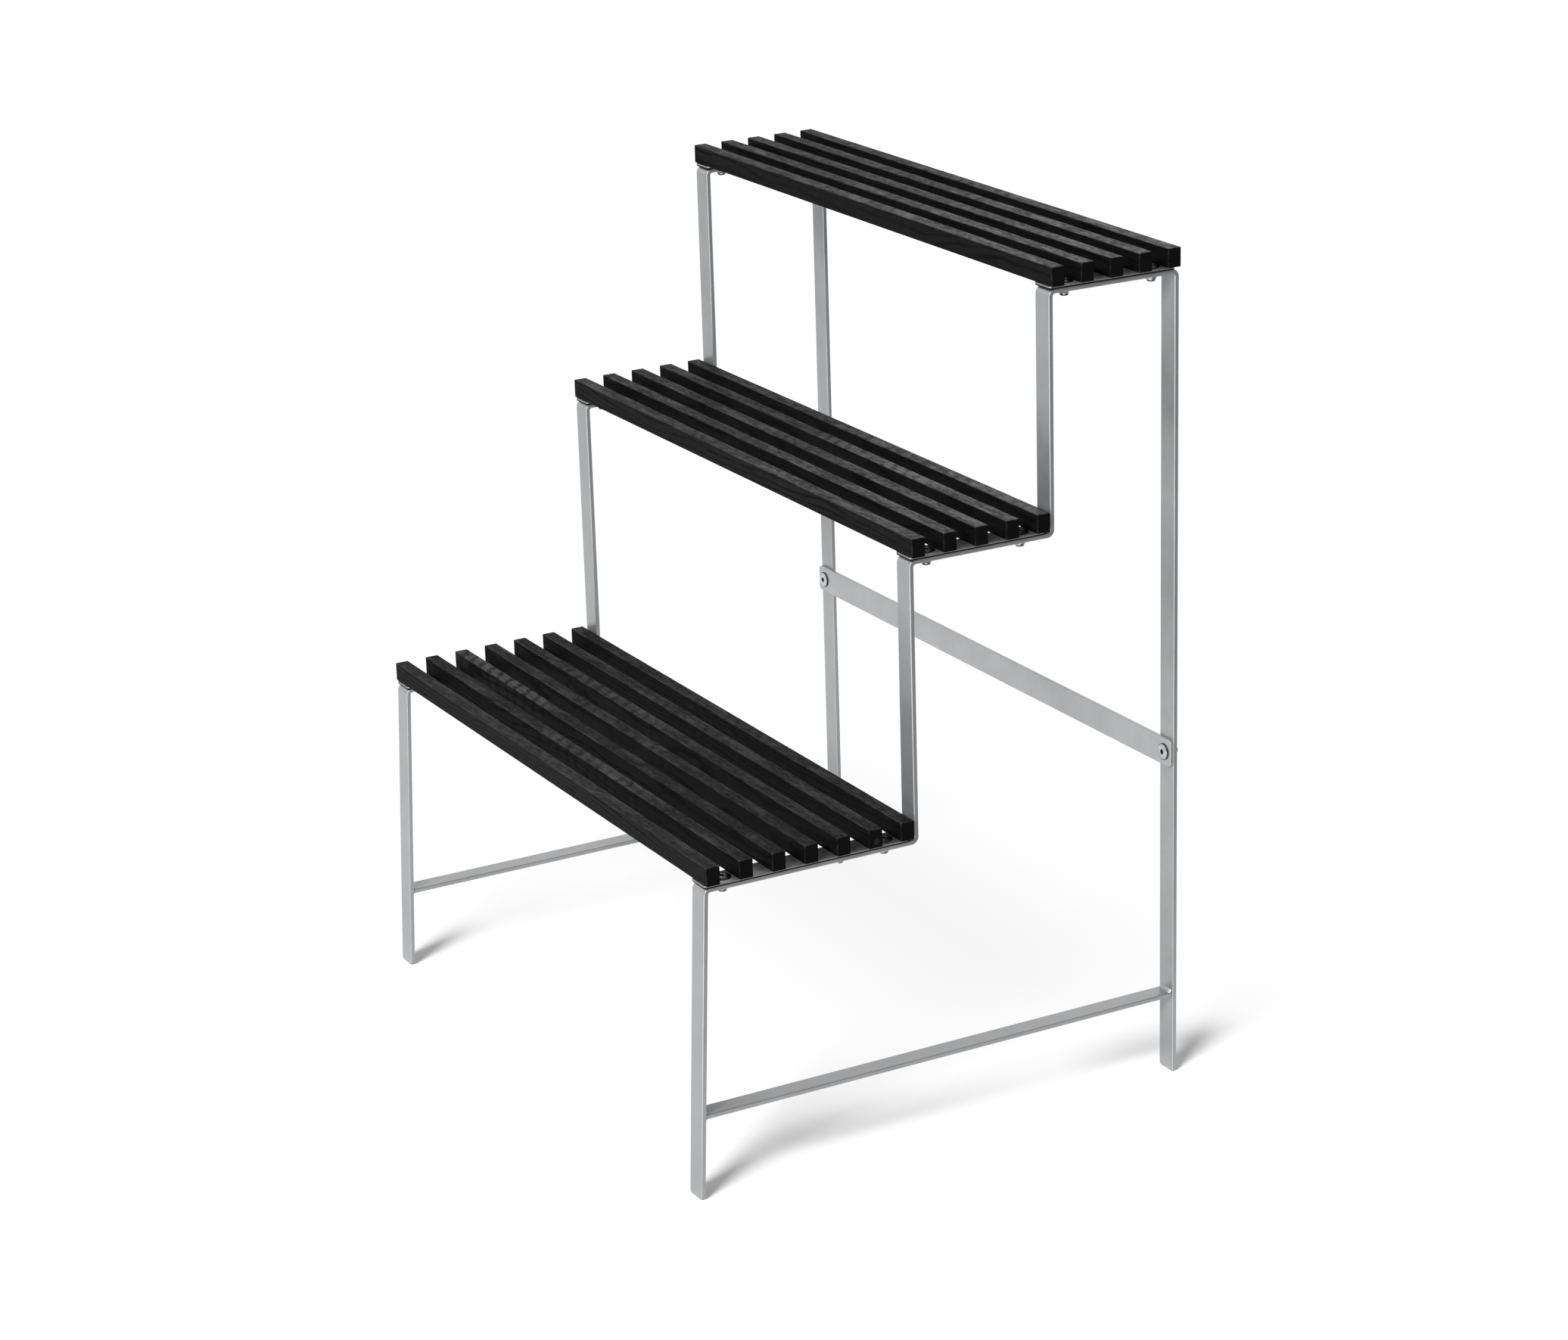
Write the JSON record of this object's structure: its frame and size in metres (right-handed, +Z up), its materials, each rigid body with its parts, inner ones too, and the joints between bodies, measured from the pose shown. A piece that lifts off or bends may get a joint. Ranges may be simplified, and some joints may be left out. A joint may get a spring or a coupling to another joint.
{
  "type": "plant stand",
  "caption": "Stepped plant stand: side frames bent from flat bar, with tie bars and a back cross bar, carry shelves of spaced wooden slats.",
  "frame": {"origin": "centre of the footprint, on the floor", "axes": "+Z up, +X to the right along the slats, -Y towards the low front step"},
  "size_m": [0.748, 0.5835, 0.903],
  "materials": {
    "frame_paint": "satin",
    "bare_steel": "satin",
    "zinc": "satin",
    "stained_wood": "matte"
  },
  "bodies": {
    "root": {"back_cross_bar": "frame_paint", "cross_bolt_left": "zinc", "cross_bolt_right": "zinc", "cross_nut_left": "zinc", "cross_nut_right": "zinc", "end_plate_lower_left": "bare_steel", "end_plate_lower_right": "bare_steel", "end_plate_middle_left": "bare_steel", "end_plate_middle_right": "bare_steel", "end_plate_upper_left": "bare_steel", "end_plate_upper_right": "bare_steel", "shelf_bolt_lower_left_front": "zinc", "shelf_bolt_lower_left_rear": "zinc", "shelf_bolt_lower_right_front": "zinc", "shelf_bolt_lower_right_rear": "zinc", "shelf_bolt_middle_left_front": "zinc", "shelf_bolt_middle_left_rear": "zinc", "shelf_bolt_middle_right_front": "zinc", "shelf_bolt_middle_right_rear": "zinc", "shelf_bolt_upper_left_front": "zinc", "shelf_bolt_upper_left_rear": "zinc", "shelf_bolt_upper_right_front": "zinc", "shelf_bolt_upper_right_rear": "zinc", "shelf_nut_lower_left_front": "zinc", "shelf_nut_lower_left_rear": "zinc", "shelf_nut_lower_right_front": "zinc", "shelf_nut_lower_right_rear": "zinc", "shelf_nut_middle_left_front": "zinc", "shelf_nut_middle_left_rear": "zinc", "shelf_nut_middle_right_front": "zinc", "shelf_nut_middle_right_rear": "zinc", "shelf_nut_upper_left_front": "zinc", "shelf_nut_upper_left_rear": "zinc", "shelf_nut_upper_right_front": "zinc", "shelf_nut_upper_right_rear": "zinc", "side_frame_left": "frame_paint", "side_frame_right": "frame_paint", "slat_lower_1": "stained_wood", "slat_lower_2": "stained_wood", "slat_lower_3": "stained_wood", "slat_lower_4": "stained_wood", "slat_lower_5": "stained_wood", "slat_lower_6": "stained_wood", "slat_lower_7": "stained_wood", "slat_middle_1": "stained_wood", "slat_middle_2": "stained_wood", "slat_middle_3": "stained_wood", "slat_middle_4": "stained_wood", "slat_middle_5": "stained_wood", "slat_upper_1": "stained_wood", "slat_upper_2": "stained_wood", "slat_upper_3": "stained_wood", "slat_upper_4": "stained_wood", "slat_upper_5": "stained_wood", "tie_bar_left": "frame_paint", "tie_bar_right": "frame_paint", "tie_welds_left": "frame_paint", "tie_welds_right": "frame_paint"}
  },
  "joints": []
}
